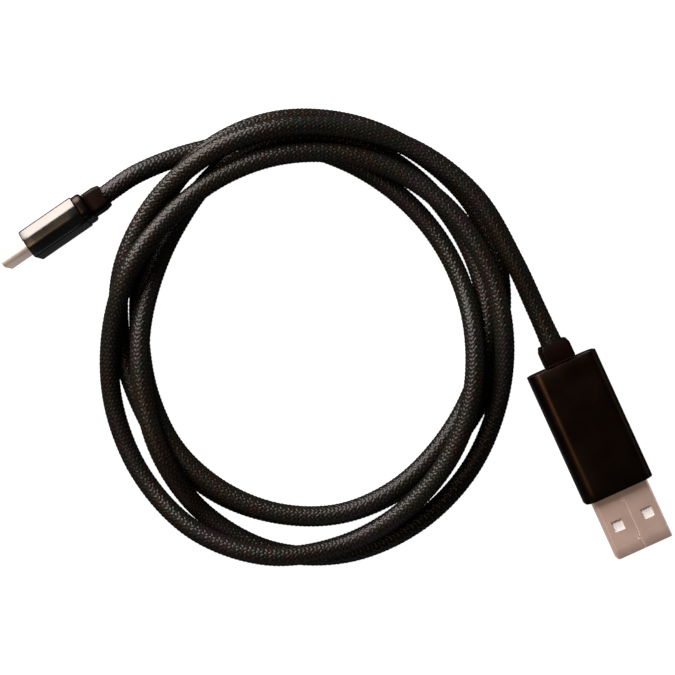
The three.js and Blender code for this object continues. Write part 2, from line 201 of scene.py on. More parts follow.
# %% Height of the weave
BUNDLES = 14                 # bundles wound each way
BUNDLE_PITCH = 0.84          # mm along the cord from one crossing to the next
WEAVE_DEPTH = 0.24           # mm from the crest of a bundle to the gaps
CORD_AROUND = 84             # points round the tube, six to a bundle
CROWN = 0.62                 # share of the weave's height that a bundle's round back takes

count = len(cord_line)
along_mm = np.linspace(0, cord_length / MM, count)[:, None]
theta = (np.arange(CORD_AROUND) / CORD_AROUND)[None, :]
u = BUNDLES * theta + along_mm / BUNDLE_PITCH
v = BUNDLES * theta - along_mm / BUNDLE_PITCH
iu, iv = np.floor(u), np.floor(v)
fu, fv = u - iu, v - iv


def bundle(across, wave):
    """Height over the core of a bundle: rounded across, rising and falling along."""
    crown = np.sqrt(np.clip(1 - (2 * across - 1) ** 2, 0, 1))
    return CROWN * crown + (1 - CROWN) * wave


height_u = bundle(fu, np.cos((v - iu) * math.pi / 2))
height_v = bundle(fv, np.cos((u - iv - 3) * math.pi / 2))
on_top = height_u > height_v
height = np.clip(np.maximum(height_u, height_v), 0, 1)
across = np.where(on_top, fu, fv)
bundle_number = np.where(on_top, np.mod(iu, BUNDLES), BUNDLES + np.mod(iv, BUNDLES))
print("weave, crest share:", round(float((height > 0.8).mean()), 2))

# %% [markdown]
# The cord swells a little where it goes into the wide plug's collar, and is drawn in a
# little at the small plug.

# %% Braid mesh
CREST_PROUD = 0.03           # mm that the crests stand over the nominal size
SWELL_A = 0.24               # mm
DRAW_IN_C = 0.10             # mm
SWELL_LENGTH = 9.0           # mm of cord over which both fade

from_a = along_mm - (GRIP + A_COLLAR_L)
from_c = cord_length / MM - GRIP - along_mm
radius = CORD_D / 2 + CREST_PROUD - WEAVE_DEPTH * (1 - height)
radius = radius + SWELL_A * np.exp(-np.clip(from_a, 0, None) / SWELL_LENGTH * 2)
radius = radius - DRAW_IN_C * np.exp(-np.clip(from_c, 0, None) / SWELL_LENGTH * 2)
angle = theta * 2 * math.pi
ring_points = (cord_line[:, None, :]
               + (radius * np.cos(angle))[..., None] * MM * cord_side[:, None, :]
               + (radius * np.sin(angle))[..., None] * MM * cord_up[:, None, :])
ring_points[..., 2] = np.maximum(ring_points[..., 2], 0.0)


def tube_faces(rings, around):
    first = np.arange(rings - 1)[:, None] * around
    k = np.arange(around)[None, :]
    nxt = (k + 1) % around
    quads = np.stack([first + k, first + nxt, first + around + nxt, first + around + k],
                     axis=-1)
    return quads.reshape(-1, 4)


def mesh_piece(name, points, faces, smooth=True):
    mesh = bpy.data.meshes.new(name)
    mesh.from_pydata([tuple(p) for p in points], [], [tuple(f) for f in faces])
    mesh.update()
    if smooth:
        mesh.polygons.foreach_set("use_smooth", [True] * len(mesh.polygons))
    piece = bpy.data.objects.new(name, mesh)
    bpy.context.scene.collection.objects.link(piece)
    return piece


def float_attribute(piece, name, values):
    layer = piece.data.attributes.new(name, "FLOAT", "POINT")
    layer.data.foreach_set("value", np.asarray(values, np.float32).ravel())


tube = tube_faces(count, CORD_AROUND).tolist()
caps = [list(range(CORD_AROUND))[::-1],
        [(count - 1) * CORD_AROUND + k for k in range(CORD_AROUND)]]
braid = mesh_piece("cord_woven", ring_points.reshape(-1, 3).tolist(), tube + caps)
rng = np.random.default_rng(7)
tint_of_bundle = 0.3 * rng.random(2 * BUNDLES)     # how far each bundle's dye is off the rest
float_attribute(braid, "weave_height", height)
float_attribute(braid, "bundle_across", across)
float_attribute(braid, "bundle_tint", tint_of_bundle[bundle_number.astype(int)])
print("braid faces:", len(braid.data.polygons))

# %% [markdown]
# Inside the braid is the jacket that holds the screen and the wires. The cover hides all of it,
# so it is a plain tube along the same line with far fewer rings. Both pieces then stand in for
# the imported cord parts, which are hidden, and hang from the root body.

# %% Core of the cord, standing in for the imported cord parts
CORE_D = 2.6                 # mm
CORE_SIDES = 16
CORE_STEP = 1.5 * MM
core_line, _ = equal_steps(smooth_line(route), CORE_STEP)
core_line[:, 2] = np.maximum(core_line[:, 2], LOWEST)
core_side, core_up = rings_along(core_line)
turn = np.arange(CORE_SIDES) / CORE_SIDES * 2 * math.pi
core_points = (core_line[:, None, :]
               + np.cos(turn)[None, :, None] * CORE_D / 2 * MM * core_side[:, None, :]
               + np.sin(turn)[None, :, None] * CORE_D / 2 * MM * core_up[:, None, :])
core_caps = [list(range(CORE_SIDES))[::-1],
             [(len(core_line) - 1) * CORE_SIDES + k for k in range(CORE_SIDES)]]
core = mesh_piece("cord_jacket", core_points.reshape(-1, 3).tolist(),
                  tube_faces(len(core_line), CORE_SIDES).tolist() + core_caps)

for piece, node_name, slot_name in ((braid, "cord_braid", "braid_black"),
                                    (core, "cord_core", "jacket_black")):
    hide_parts(node_name)
    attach(piece, "root")

# %% [markdown]
# ## How the plug pieces are shaped
# A housing, shell or collar is a cross-section carried along the plug, so each is lofted: a
# list of rings, each a little in or out of the last. Small steps at the ends give the edges
# a bevel, which is what makes a real edge catch the light.

# %% Outlines and lofts
def outline(width, height, corner, per_corner=10):
    """Rounded rectangle as (sideways, up) points about its middle."""
    w, h = width / 2 - corner, height / 2 - corner
    points = []
    for cx, cy, start in ((w, -h, -90), (w, h, 0), (-w, h, 90), (-w, -h, 180)):
        for k in range(per_corner + 1):
            t = math.radians(start + 90 * k / per_corner)
            points.append((cx + corner * math.cos(t), cy + corner * math.sin(t)))
    return np.array(points)


def round_hole(like, diameter):
    """A circle whose points stand at the same angles as those of an outline."""
    t = np.arctan2(like[:, 1], like[:, 0])
    return np.column_stack([np.cos(t), np.sin(t)]) * diameter / 2


def mark_sharp(piece, degrees=32):
    shape = bmesh.new()
    shape.from_mesh(piece.data)
    bmesh.ops.recalc_face_normals(shape, faces=shape.faces)
    for face in shape.faces:
        face.smooth = True
    for edge in shape.edges:
        if len(edge.link_faces) == 2:
            edge.smooth = edge.calc_face_angle(0) < math.radians(degrees)
    shape.to_mesh(piece.data)
    shape.free()
    return piece


def loft(name, rings, mid, at, degrees, closed=True):
    """Rings are (x, outline); closed joins the last ring back to the first."""
    around = len(rings[0][1])
    points = [(x, p[0], mid + p[1]) for x, ring in rings for p in ring]
    faces = tube_faces(len(rings), around).tolist()
    last = (len(rings) - 1) * around
    if closed:
        for k in range(around):
            faces.append([last + k, last + (k + 1) % around, (k + 1) % around, k])
    else:
        faces.append(list(range(around))[::-1])
        faces.append([last + k for k in range(around)])
    piece = mesh_piece(name, placed(points, at, degrees).tolist(), faces)
    return mark_sharp(piece)


def pipe_rings(x0, x1, outer, inner, edge, back_edge=None):
    """Rings of a hollow section with bevelled ends: outer(inset) and inner(inset)."""
    back = edge if back_edge is None else back_edge
    rings = [(x0, outer(back)), (x0 + back * 0.3, outer(back * 0.3)), (x0 + back, outer(0))]
    steps = max(2, int((x1 - x0) / 2.0))
    for k in range(1, steps):
        rings.append((x0 + back + (x1 - edge - x0 - back) * k / steps, outer(0)))
    rings += [(x1 - edge, outer(0)), (x1 - edge * 0.3, outer(edge * 0.3)), (x1, outer(edge))]
    rings += [(x1, inner(0)), (x0, inner(0))]
    return rings


def stands_for(piece, node_name):
    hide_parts(node_name)
    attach(piece, "root")
    return piece


# %% [markdown]
# ## Wide plug: housing and collar
# The housing is a drawn aluminium tube, cut square at both ends, with rounded long edges.
# Only a fine bevel breaks the cut edges. The collar is moulded, with its corners cut away on
# the cord side so that the cord can bend over it.

# %% Wide plug housing
A_WALL, A_CORNER, A_INSIDE_CORNER = 0.7, 2.4, 0.8
A_EDGE = 0.16                # bevel of the cut ends

a_sleeve = loft("usb_a_housing", pipe_rings(
    0, A_LENGTH,
    lambda i: outline(A_WIDTH - 2 * i, A_HEIGHT - 2 * i, A_CORNER - i),
    lambda i: outline(A_WIDTH - 2 * A_WALL, A_HEIGHT - 2 * A_WALL, A_INSIDE_CORNER),
    A_EDGE), A_MID, A_AT, A_TURN)
stands_for(a_sleeve, "usb_a_sleeve")
print("wide housing faces:", len(a_sleeve.data.polygons))

# %% Wide plug collar
A_COLLAR_W, A_COLLAR_H = 6.4, 5.6
A_COLLAR_CUT = 0.45          # how much narrower the collar is at its cord end
HOUSING_GAP = 0.15
COLLAR_FIT = 0.3             # round the cord
COLLAR_HOLE = CORD_D + 2 * COLLAR_FIT


def collar(name, x0, x1, width, height, corner, cut, mid, at, degrees):
    """A block round the cord: tapered at x0, with a fine groove just before x1."""
    def out(dw, dh):
        return outline(width - 2 * dw, height - 2 * dh, corner)
    hole = round_hole(out(0, 0), COLLAR_HOLE)
    rings = [(x0, out(cut, cut * 0.5)), (x0 + 0.12, out(cut * 0.86, cut * 0.4)),
             (x0 + 0.95, out(0.08, 0.06)), (x0 + 1.2, out(0, 0)),
             (x1 - 0.55, out(0, 0)), (x1 - 0.4, out(0.06, 0.06)), (x1 - 0.25, out(0, 0)),
             (x1 - 0.08, out(0, 0)), (x1, out(0.1, 0.1)), (x1, hole), (x0, hole)]
    return loft(name, rings, mid, at, degrees)


a_collar = collar("usb_a_strain_relief", -A_COLLAR_L, -HOUSING_GAP, A_COLLAR_W, A_COLLAR_H,
                  0.7, A_COLLAR_CUT, A_MID, A_AT, A_TURN)
stands_for(a_collar, "usb_a_collar")
print("collar faces:", len(a_collar.data.polygons))

# %% [markdown]
# ## Wide plug: metal shell
# The shell is a strip of plated steel folded into a box. Its two edges meet in the middle of
# the upper face and lock together with two dovetails, like a jigsaw. Two square windows in
# each face let the socket's springs hold it. Windows and seam could be a bump in the material,
# but they are real openings, so they are cut out of the lofted shell with booleans. These are
# applied at once, so that no cutter is left.

# %% Shell with rounded folds
A_SHELL_W, A_SHELL_H, A_SHELL_WALL = 12.0, 4.5, 0.3
A_SHELL_OUT, A_SHELL_IN = 12.8, 6.0
A_NOSE = A_LENGTH + A_SHELL_OUT
FOLD = 0.55                  # outside radius of the folded edges

a_shell = loft("usb_a_metal_shell", pipe_rings(
    A_LENGTH - A_SHELL_IN, A_NOSE,
    lambda i: outline(A_SHELL_W - 2 * i, A_SHELL_H - 2 * i, FOLD),
    lambda i: outline(A_SHELL_W - 2 * A_SHELL_WALL, A_SHELL_H - 2 * A_SHELL_WALL,
                      FOLD - A_SHELL_WALL),
    0.1), A_MID, A_AT, A_TURN)

# %% Cutters for windows and seam
A_WINDOW_BACK, A_WINDOW_APART, A_WINDOW = 6.4, 6.5, 2.3
SEAM_WIDTH, SEAM_DEPTH = 0.14, 0.12
LOCKS = (11.0, 2.7)          # how far behind the nose each dovetail is
LOCK_NECK, LOCK_HEAD, LOCK_OUT = 0.25, 0.4, 0.6   # half widths, and its reach to the side


def prism(name, left, right, z0, z1, at, degrees):
    """A closed strip between two lines of (x, y) points, from z0 up to z1."""
    n = len(left)
    points = [(*p, z) for z in (z0, z1) for p in list(left) + list(right)]
    low_l, low_r, up_l, up_r = 0, n, 2 * n, 3 * n
    faces = []
    for k in range(n - 1):
        faces += [[low_l + k, low_l + k + 1, low_r + k + 1, low_r + k],
                  [up_l + k, up_r + k, up_r + k + 1, up_l + k + 1],
                  [low_l + k, up_l + k, up_l + k + 1, low_l + k + 1],
                  [low_r + k, low_r + k + 1, up_r + k + 1, up_r + k]]
    for k in (0, n - 1):
        faces.append([low_l + k, low_r + k, up_r + k, up_l + k])
    return mark_sharp(mesh_piece(name, placed(points, at, degrees).tolist(), faces))


def strip_sides(line, width):
    """The two edges of a strip of even width along a line with corners."""
    line = np.asarray(line, float)
    seg = np.diff(line, axis=0)
    seg /= np.linalg.norm(seg, axis=1)[:, None]
    normal = np.column_stack([-seg[:, 1], seg[:, 0]])
    corner = [normal[0]]
    for a, b in zip(normal, normal[1:]):
        m = (a + b) / np.linalg.norm(a + b)
        corner.append(m / max(0.3, float(np.dot(m, b))))
    corner.append(normal[-1])
    corner = np.array(corner) * width / 2
    return line + corner, line - corner


def carve(piece, cutters):
    for cutter in cutters:
        step = piece.modifiers.new("cut", "BOOLEAN")
        step.operation = "DIFFERENCE"
        step.solver = "EXACT"
        step.object = cutter
        depsgraph = bpy.context.evaluated_depsgraph_get()
        shape = bpy.data.meshes.new_from_object(piece.evaluated_get(depsgraph))
        piece.modifiers.clear()
        old = piece.data
        piece.data = shape
        bpy.data.meshes.remove(old)
        bpy.data.objects.remove(cutter)
    return mark_sharp(piece)


cutters = []
half = A_WINDOW / 2
for sign in (-1, 1):
    y = sign * A_WINDOW_APART / 2
    x = A_NOSE - A_WINDOW_BACK
    cutters.append(prism("window", [(x - half, y - half), (x + half, y - half)],
                         [(x - half, y + half), (x + half, y + half)],
                         -1, A_HEIGHT + 1, A_AT, A_TURN))
seam = [(A_LENGTH - A_SHELL_IN + 0.5, 0)]
for back in LOCKS:
    x = A_NOSE - back
    seam += [(x - LOCK_NECK, 0), (x - LOCK_HEAD, -LOCK_OUT), (x + LOCK_HEAD, -LOCK_OUT),
             (x + LOCK_NECK, 0)]
seam.append((A_NOSE + 0.5, 0))
shell_top = A_MID + A_SHELL_H / 2
cutters.append(prism("seam", *strip_sides(seam, SEAM_WIDTH), shell_top - SEAM_DEPTH,
                     shell_top + 1, A_AT, A_TURN))
carve(a_shell, cutters)
stands_for(a_shell, "usb_a_shell")
print("wide shell faces:", len(a_shell.data.polygons))

# %% [markdown]
# The seam shows as a line a little brighter than the face. This is a painted highlight: the
# faces of the seam are found by their place, and take a lighter second material further down.

# %% Faces in the seam
EDGE_SLACK = 0.3             # mm to either side of the seam that is searched
along_a = np.array([math.cos(math.radians(A_TURN)), math.sin(math.radians(A_TURN))])
seam_faces = []
for face in a_shell.data.polygons:
    centre = np.array(face.center) / MM
    dx, dy = centre[:2] - np.array(A_AT)
    sideways = along_a[0] * dy - along_a[1] * dx
    below = shell_top - centre[2]
    if -LOCK_OUT - EDGE_SLACK < sideways < EDGE_SLACK and 0.005 < below < SEAM_DEPTH + 0.01:
        seam_faces.append(face.index)
print("faces in the seam:", len(seam_faces))

# %% [markdown]
# ## Small plug
# Its housing is a drawn tube like the other, but its long edges are cut off flat and broad, so
# that two fingers hold it. A rounded rectangle would give a soft glint there; the flat cut
# gives the broad bright band of a real chamfer. Behind it are a plain ring, stepped in, and a
# short moulded collar. The shell in front is one deep-drawn oval cup.

# %% Outline with flat-cut corners
CUT_SLOPE = 0.62             # how much lower a cut corner reaches than it is wide


def cut_outline(width, height, cut, blend=0.5, steps=6):
    """Rectangle whose corners are cut off flat, each change of direction blended round."""
    w, h = width / 2, height / 2
    drop = cut * CUT_SLOPE
    corners = [(w, -h + drop), (w, h - drop), (w - cut, h), (-w + cut, h),
               (-w, h - drop), (-w, -h + drop), (-w + cut, -h), (w - cut, -h)]
    points = []
    for k, here in enumerate(corners):
        p = np.array(here)
        before = np.array(corners[k - 1]) - p
        after = np.array(corners[(k + 1) % 8]) - p
        a = p + before / np.linalg.norm(before) * blend
        b = p + after / np.linalg.norm(after) * blend
        for s in range(steps + 1):
            t = s / steps
            points.append(a * (1 - t) ** 2 + p * 2 * t * (1 - t) + b * t ** 2)
    return np.array(points)


# %% Small plug housing
C_LENGTH, C_THICK, C_WALL, C_CUT = 12.6, 6.1, 0.6, 2.05
C_COLLAR_L, C_RING_L = 3.8, 1.6
C_RING_FROM = C_COLLAR_L + HOUSING_GAP
C_SLEEVE_FROM = C_COLLAR_L + C_RING_L + 2 * HOUSING_GAP
C_FRONT = C_SLEEVE_FROM + C_LENGTH
C_EDGE = 0.22                # bevel of the cut ends
CUT_SHRINK = 0.6             # how fast the cut corner narrows as the outline moves in


def housing_outline(inset):
    return cut_outline(C_THICK - 2 * inset, C_HEIGHT - 2 * inset, C_CUT - CUT_SHRINK * inset)


c_sleeve = loft("usb_c_housing", pipe_rings(
    C_SLEEVE_FROM, C_FRONT, housing_outline, lambda i: housing_outline(C_WALL), C_EDGE),
    C_MID, C_AT, C_TURN)
stands_for(c_sleeve, "usb_c_sleeve")
print("small housing faces:", len(c_sleeve.data.polygons))

# %% Small plug ring and collar
RING_STEP, RING_CORNER = 0.2, 2.0
RING_REACH = 0.08            # the ring nearly closes the gap at each end
RING_HOLE = CORD_D + 0.16
C_COLLAR_W, C_COLLAR_H, C_COLLAR_CUT = 4.9, 6.0, 0.3


def ring_outline(inset):
    return outline(C_THICK - 2 * RING_STEP - 2 * inset,
                   C_HEIGHT - 2 * RING_STEP - 2 * inset, RING_CORNER - inset)


c_ring = loft("usb_c_rear_ring", pipe_rings(
    C_RING_FROM - RING_REACH, C_RING_FROM + C_RING_L + RING_REACH, ring_outline,
    lambda i: round_hole(ring_outline(0), RING_HOLE), 0.1, 0.6), C_MID, C_AT, C_TURN)
stands_for(c_ring, "usb_c_ring")
c_collar = collar("usb_c_strain_relief", 0, C_COLLAR_L, C_COLLAR_W, C_COLLAR_H, 0.9,
                  C_COLLAR_CUT, C_MID, C_AT, C_TURN)
stands_for(c_collar, "usb_c_collar")
print("ring and collar faces:", len(c_ring.data.polygons), len(c_collar.data.polygons))

# %% Small plug shell
C_SHELL_W, C_SHELL_T, C_SHELL_WALL = 8.25, 2.4, 0.2
C_SHELL_OUT, C_SHELL_IN = 6.2, 3.0
c_shell = loft("usb_c_metal_shell", pipe_rings(
    C_FRONT - C_SHELL_IN, C_FRONT + C_SHELL_OUT,
    lambda i: outline(C_SHELL_T - 2 * i, C_SHELL_W - 2 * i, C_SHELL_T / 2 - i, 14),
    lambda i: outline(C_SHELL_T - 2 * C_SHELL_WALL, C_SHELL_W - 2 * C_SHELL_WALL,
                      C_SHELL_T / 2 - C_SHELL_WALL, 14),
    0.15), C_MID, C_AT, C_TURN)
stands_for(c_shell, "usb_c_shell")
print("small shell faces:", len(c_shell.data.polygons))

# %% [markdown]
# ## Materials
# Colours are written as sRGB hex values, as in any paint chart, and one function turns them
# into the linear values that the renderer works in. Another adds a node with its settings and
# its links, so each material below reads as a list of what is mixed into it.

# %% Helpers for materials
def linear(hex_colour):
    parts = [int(hex_colour[k:k + 2], 16) / 255 for k in (1, 3, 5)]
    return (*[p / 12.92 if p <= 0.04045 else ((p + 0.055) / 1.055) ** 2.4 for p in parts], 1)


def add(tree, kind, settings=None, links=None):
    """Adds a node; settings are its properties or input values, links are sockets."""
    made = tree.nodes.new(kind)
    for key, value in (settings or {}).items():
        if isinstance(key, int) or key in made.inputs:
            made.inputs[key].default_value = value
        else:
            setattr(made, key, value)
    for key, socket in (links or {}).items():
        tree.links.new(socket, made.inputs[key])
    return made


def new_material(name, settings):
    print("material:", name)
    material = bpy.data.materials.new(name)
    material.use_nodes = True
    tree = material.node_tree
    shader = tree.nodes["Principled BSDF"]
    for key, value in settings.items():
        shader.inputs[key].default_value = value
    return material, tree, shader


def ramp(tree, source, stops):
    made = add(tree, "ShaderNodeValToRGB", links={"Fac": source})
    band = made.color_ramp
    while len(band.elements) < len(stops):
        band.elements.new(0.5)
    for element, (position, colour) in zip(band.elements, stops):
        element.position = position
        element.color = linear(colour) if isinstance(colour, str) else (*[colour] * 3, 1)
    return made.outputs["Color"]


def give(piece, material):
    piece.data.materials.clear()
    piece.data.materials.append(material)


# %% [markdown]
# ### Polyester braid, dyed black
# The bundles are continuous polyester filament. It is shiny for a textile, so the crests glint.
# The gaps are black from painted shade: the base colour is darkened with the weave's depth. The
# dye takes a little unevenly along the cord and from bundle to bundle: brown, grey-green or
# violet, and all nearly black. A bundle has about a dozen filaments; they are finer than can
# show, so three coarser ridges stand for them.

# %% Polyester braid
RIDGES = 3                   # filament ridges on each bundle


def polyester_braid():
    made, tree, shader = new_material("polyester_braid_black", {
        "Roughness": 0.25, "Specular IOR Level": 0.15, "IOR": 1.5})
    tint = add(tree, "ShaderNodeAttribute", {"attribute_name": "bundle_tint"})
    high = add(tree, "ShaderNodeAttribute", {"attribute_name": "weave_height"})
    across_bundle = add(tree, "ShaderNodeAttribute", {"attribute_name": "bundle_across"})
    place = add(tree, "ShaderNodeTexCoord")
    patches = add(tree, "ShaderNodeTexNoise", {"Scale": 90.0, "Detail": 3.0},
                  {"Vector": place.outputs["Object"]})
    mixed = add(tree, "ShaderNodeMath", {"operation": "MULTIPLY_ADD", 1: 2.2},
                {0: patches.outputs["Fac"], 2: tint.outputs["Fac"]})
    turned = add(tree, "ShaderNodeMath", {"operation": "FRACT"}, {0: mixed.outputs[0]})
    dye = ramp(tree, turned.outputs[0], [
        (0.0, "#20150f"), (0.3, "#151914"), (0.55, "#21181c"), (0.8, "#131511"),
        (1.0, "#20150f")])
    # Painted shade: the base colour is darkened where the weave lies deep, nearly black in the
    # gaps between bundles.
    shade = ramp(tree, high.outputs["Fac"], [(0.25, 0.02), (0.6, 0.45), (0.95, 1.0)])
    colour = add(tree, "ShaderNodeMix", {"data_type": "RGBA", "blend_type": "MULTIPLY",
                                         0: 1.0}, {6: dye, 7: shade})
    tree.links.new(colour.outputs[2], shader.inputs["Base Color"])
    ridges = add(tree, "ShaderNodeMath", {"operation": "MULTIPLY", 1: RIDGES * 2 * math.pi},
                 {0: across_bundle.outputs["Fac"]})
    wave = add(tree, "ShaderNodeMath", {"operation": "COSINE"}, {0: ridges.outputs[0]})
    fuzz = add(tree, "ShaderNodeTexNoise", {"Scale": 3500.0, "Detail": 2.0},
               {"Vector": place.outputs["Object"]})
    rough = add(tree, "ShaderNodeMath", {"operation": "MULTIPLY_ADD", 1: 0.6},
                {0: fuzz.outputs["Fac"], 2: wave.outputs[0]})
    bump = add(tree, "ShaderNodeBump", {"Strength": 0.18, "Distance": 0.00002},
               {"Height": rough.outputs[0]})
    tree.links.new(bump.outputs["Normal"], shader.inputs["Normal"])
    return made


give(braid, polyester_braid())

# %% [markdown]
# ### Anodised aluminium, dyed black
# The tube is drawn, polished and anodised. The dyed oxide is dark brown-black and reflects
# like a dark mirror, a little blurred by fine lines along the drawing direction. Handling
# leaves faint smudges that change the gloss more than the colour.

# %% Anodised aluminium
def anodised_aluminium(name, colour, roughness, degrees):
    made, tree, shader = new_material(name, {"Metallic": 1.0, "Roughness": roughness})
    place = add(tree, "ShaderNodeTexCoord")
    along_plug = add(tree, "ShaderNodeMapping", {
        "vector_type": "TEXTURE", "Rotation": (0, 0, math.radians(degrees)),
        "Scale": (25.0, 1.0, 1.0)}, {"Vector": place.outputs["Object"]})
    lines = add(tree, "ShaderNodeTexNoise", {"Scale": 5000.0, "Detail": 2.0},
                {"Vector": along_plug.outputs["Vector"]})
    smudge = add(tree, "ShaderNodeTexNoise", {"Scale": 160.0, "Detail": 3.0},
                 {"Vector": place.outputs["Object"]})
    gloss = add(tree, "ShaderNodeMapRange", {"To Min": roughness * 0.85,
                                             "To Max": roughness * 1.25},
                {"Value": smudge.outputs["Fac"]})
    tree.links.new(gloss.outputs["Result"], shader.inputs["Roughness"])
    tone = ramp(tree, smudge.outputs["Fac"], [(0.3, colour[0]), (0.7, colour[1])])
    tree.links.new(tone, shader.inputs["Base Color"])
    bump = add(tree, "ShaderNodeBump", {"Strength": 0.12, "Distance": 0.00001},
               {"Height": lines.outputs["Fac"]})
    tree.links.new(bump.outputs["Normal"], shader.inputs["Normal"])
    return made


BROWN_OXIDE = ("#2e221b", "#382a21")
GREY_OXIDE = ("#434241", "#494745")
DEEP_OXIDE = ("#211c1a", "#272120")
give(a_sleeve, anodised_aluminium("anodised_black_wide", BROWN_OXIDE, 0.3, A_TURN))
give(c_sleeve, anodised_aluminium("anodised_black_small", GREY_OXIDE, 0.24, C_TURN))
give(c_ring, anodised_aluminium("anodised_black_ring", DEEP_OXIDE, 0.3, C_TURN))

# %% [markdown]
# ### Nickel plate on folded steel
# Bright nickel over drawn steel looks warm grey, with fine scratches from being pushed into
# sockets. The scratches run along the plug, so the noise that makes them is stretched that way.
# A lighter copy of it on the seam's faces is a painted highlight along the strip's edges.

# %% Nickel plate
def nickel_plate(name, colour, degrees, roughness):
    made, tree, shader = new_material(name, {"Metallic": 1.0, "Roughness": roughness})
    place = add(tree, "ShaderNodeTexCoord")
    along_plug = add(tree, "ShaderNodeMapping", {
        "vector_type": "TEXTURE", "Rotation": (0, 0, math.radians(degrees)),
        "Scale": (30.0, 1.0, 1.0)}, {"Vector": place.outputs["Object"]})
    scratches = add(tree, "ShaderNodeTexNoise", {"Scale": 3000.0, "Detail": 4.0},
                    {"Vector": along_plug.outputs["Vector"]})
    cloud = add(tree, "ShaderNodeTexNoise", {"Scale": 250.0, "Detail": 3.0},
                {"Vector": place.outputs["Object"]})
    tone = ramp(tree, cloud.outputs["Fac"], [(0.25, colour[0]), (0.75, colour[1])])
    tree.links.new(tone, shader.inputs["Base Color"])
    gloss = add(tree, "ShaderNodeMapRange", {"To Min": roughness - 0.06,
                                             "To Max": roughness + 0.08},
                {"Value": scratches.outputs["Fac"]})
    tree.links.new(gloss.outputs["Result"], shader.inputs["Roughness"])
    bump = add(tree, "ShaderNodeBump", {"Strength": 0.15, "Distance": 0.00001},
               {"Height": scratches.outputs["Fac"]})
    tree.links.new(bump.outputs["Normal"], shader.inputs["Normal"])
    return made


NICKEL_WIDE = ("#cdb5ac", "#d9c5bd")
NICKEL_SMALL = ("#e6dbd5", "#efe5df")
SEAM_PAINTED_HIGHLIGHT = ("#e9dcd5", "#f2e6df")
give(a_shell, nickel_plate("nickel_plate_wide", NICKEL_WIDE, A_TURN, 0.6))
give(c_shell, nickel_plate("nickel_plate_small", NICKEL_SMALL, C_TURN, 0.72))
# Painted highlight: the seam's faces get a lighter copy of the nickel, so the seam reads as a
# bright line.
a_shell.data.materials.append(nickel_plate("seam_painted_highlight", SEAM_PAINTED_HIGHLIGHT, A_TURN, 0.6))
for index in seam_faces:
    a_shell.data.polygons[index].material_index = 1

# %% [markdown]
# ### Moulded and extruded plastics
# The collars are soft moulded elastomer, the tongue a glossy white liquid-crystal polymer, and
# the parts inside are plain nylon. They differ in colour and gloss, and all have the faint
# orange-peel of a spark-eroded mould, so one recipe takes those as its settings.

# %% Plastics
def plastic(name, dark, light, roughness, grain_mm=0.25, grain_depth=0.00002, specular=0.5):
    made, tree, shader = new_material(name, {"Roughness": roughness,
                                             "Specular IOR Level": specular})
    place = add(tree, "ShaderNodeTexCoord")
    grain = add(tree, "ShaderNodeTexNoise", {"Scale": 1000 / grain_mm, "Detail": 3.0},
                {"Vector": place.outputs["Object"]})
    cloud = add(tree, "ShaderNodeTexNoise", {"Scale": 300.0, "Detail": 2.0},
                {"Vector": place.outputs["Object"]})
    tone = ramp(tree, cloud.outputs["Fac"], [(0.3, dark), (0.7, light)])
    tree.links.new(tone, shader.inputs["Base Color"])
    gloss = add(tree, "ShaderNodeMapRange", {"To Min": roughness * 0.85,
                                             "To Max": min(1.0, roughness * 1.2)},
                {"Value": grain.outputs["Fac"]})
    tree.links.new(gloss.outputs["Result"], shader.inputs["Roughness"])
    bump = add(tree, "ShaderNodeBump", {"Strength": 0.3, "Distance": grain_depth},
               {"Height": grain.outputs["Fac"]})
    tree.links.new(bump.outputs["Normal"], shader.inputs["Normal"])
    return made


moulded_elastomer = plastic("moulded_elastomer_black", "#0c0403", "#0f0504", 0.36,
                            specular=0.05)
white_polymer = plastic("white_liquid_crystal_polymer", "#dcdde0", "#e8e9eb", 0.38)
black_nylon = plastic("moulded_nylon_black", "#1b1817", "#242120", 0.55)
pvc_jacket = plastic("extruded_pvc_jacket", "#26262a", "#2e2e31", 0.5)
laminate = plastic("lacquered_laminate_green", "#174d2d", "#1f6138", 0.35)
epoxy = plastic("moulded_epoxy_chip", "#1a1a1b", "#262627", 0.45)
give(a_collar, moulded_elastomer)
give(c_collar, moulded_elastomer)
give(core, pvc_jacket)

# %% [markdown]
# ### Metal inside the plugs
# Contacts are gold over nickel, rubbed a little paler where the socket wipes them. The side
# latches are bare spring steel. The wires are coloured PVC.

# %% Contacts, latches and wires
def contact_metal(name, dark, light, roughness):
    made, tree, shader = new_material(name, {"Metallic": 1.0, "Roughness": roughness})
    place = add(tree, "ShaderNodeTexCoord")
    wipe = add(tree, "ShaderNodeTexNoise", {"Scale": 700.0, "Detail": 3.0},
               {"Vector": place.outputs["Object"]})
    tone = ramp(tree, wipe.outputs["Fac"], [(0.35, dark), (0.7, light)])
    tree.links.new(tone, shader.inputs["Base Color"])
    return made


gold = contact_metal("gold_on_nickel", "#d3a847", "#ecd08a", 0.28)
spring_steel = contact_metal("spring_steel", "#a8a6a2", "#c4c2be", 0.32)
wires = [plastic("pvc_wire_red", "#9c1c18", "#b02620", 0.4),
         plastic("pvc_wire_white", "#dedcd6", "#eeece6", 0.4),
         plastic("pvc_wire_green", "#1a6e35", "#228343", 0.4),
         plastic("pvc_wire_black", "#121212", "#1c1c1c", 0.4)]

inside = {"usb_a_tongue": white_polymer, "usb_a_rear_plate": black_nylon,
          "usb_a_front_plate": black_nylon, "usb_a_core": black_nylon,
          "usb_c_front_plate": black_nylon, "usb_c_core": black_nylon,
          "usb_c_insulator": black_nylon, "usb_c_board": laminate, "usb_c_resistor": epoxy}
for name, piece in nodes.items():
    if "contact" in name:
        inside[name] = gold
    elif "latch" in name:
        inside[name] = spring_steel
    elif "wire" in name:
        inside[name] = wires[int(name[-1]) - 1]
for name, material in inside.items():
    give(nodes[name], material)
print("carried-over pieces with a material:", len(inside))

# %% [markdown]
# The moulded pieces that show, the tongue and the front plates, get a fine bevel, because no
# mould makes a knife edge.

